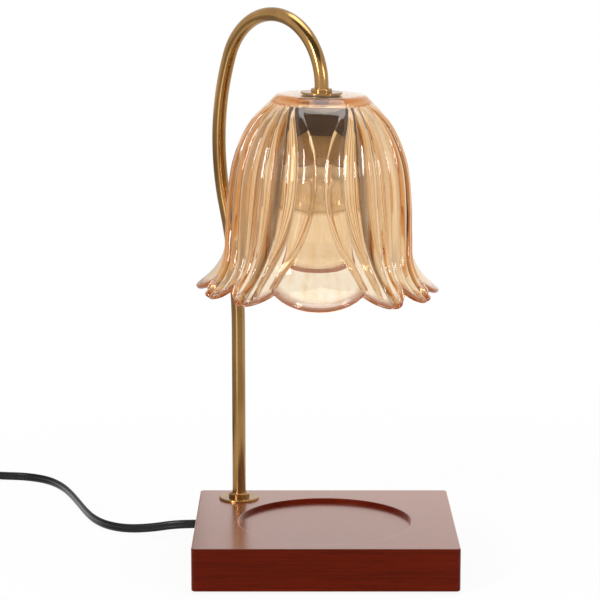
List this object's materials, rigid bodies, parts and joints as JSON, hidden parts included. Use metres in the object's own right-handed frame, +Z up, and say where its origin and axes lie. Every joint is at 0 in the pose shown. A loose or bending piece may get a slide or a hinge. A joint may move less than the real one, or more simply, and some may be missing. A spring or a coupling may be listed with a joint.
{
  "type": "candle warmer lamp",
  "caption": "Table candle warmer: wooden base with a round candle seat, brass swan-neck stem, pressed amber glass flower shade over a heat bulb, corded dimmer and plug.",
  "frame": {"origin": "on the table plane, under the middle of the candle seat, at the underside of the middle foot", "axes": "+Z up, +X to the viewer's right along the base's long side, +Y away from the viewer"},
  "size_m": [0.4225, 0.2696, 0.3204],
  "materials": {
    "stained_wood": "satin stained",
    "antique_brass": "brushed antique",
    "amber_glass": "lustre gloss",
    "clear_glass": "gloss",
    "coated_glass": "dichroic gloss",
    "steel": "plated",
    "black_rubber": "matte",
    "clear_silicone": "satin",
    "black_cord": "gloss",
    "black_plastic": "moulded",
    "white_ceramic": "fired",
    "cover_board": "pressed board",
    "circuit_board": "solder mask",
    "nylon_cap": "moulded"
  },
  "bodies": {
    "base": {"wood_base": "stained_wood", "rubber_feet": "black_rubber", "bottom_cover": "cover_board", "cover_screws": "steel", "base_flange": "antique_brass", "foot_collar": "antique_brass", "stem_tube": "antique_brass", "stem_lock_washer": "steel", "stem_nut": "steel", "inner_cable": "black_cord", "cord_inner": "black_cord", "wire_connectors": "nylon_cap", "cord_grommet": "black_rubber", "cord_stop": "steel", "head_collar": "antique_brass", "shade_washer": "antique_brass", "upper_gasket": "clear_silicone", "glass_shade": "amber_glass", "lower_gasket": "clear_silicone", "holder_cup": "antique_brass", "holder_bracket": "steel", "cup_nut": "steel", "lamp_holder": "white_ceramic", "holder_screws": "steel", "holder_contacts": "steel", "cord_lead": "black_cord", "cord_link": "black_cord", "cord_coil": "black_cord", "cord_tail": "black_cord", "cord_tie": "black_rubber", "plug_body": "black_plastic", "plug_blades": "steel", "dimmer_lower_shell": "black_plastic", "dimmer_upper_shell": "black_plastic", "dimmer_screws": "steel", "dimmer_board": "circuit_board", "dimmer_pot": "black_plastic"},
    "bulb": {"bulb_base": "clear_glass", "bulb_pins": "steel", "bulb_reflector": "coated_glass", "bulb_lens": "clear_glass", "bulb_capsule": "clear_glass"},
    "knob": {"dimmer_knob": "black_plastic"}
  },
  "joints": [
    {"name": "bulb_twist", "type": "hinge", "parent": "base", "child": "bulb", "pos_m": [-0.00307, 0.00307, 0.23317], "axis": [0.0185, -0.0185, 0.9997], "range_deg": [0, 25]},
    {"name": "dimmer_turn", "type": "hinge", "parent": "base", "child": "knob", "pos_m": [-0.269, 0.19, 0.015], "axis": [0, 0, -1], "range_deg": [0, 270]}
  ]
}
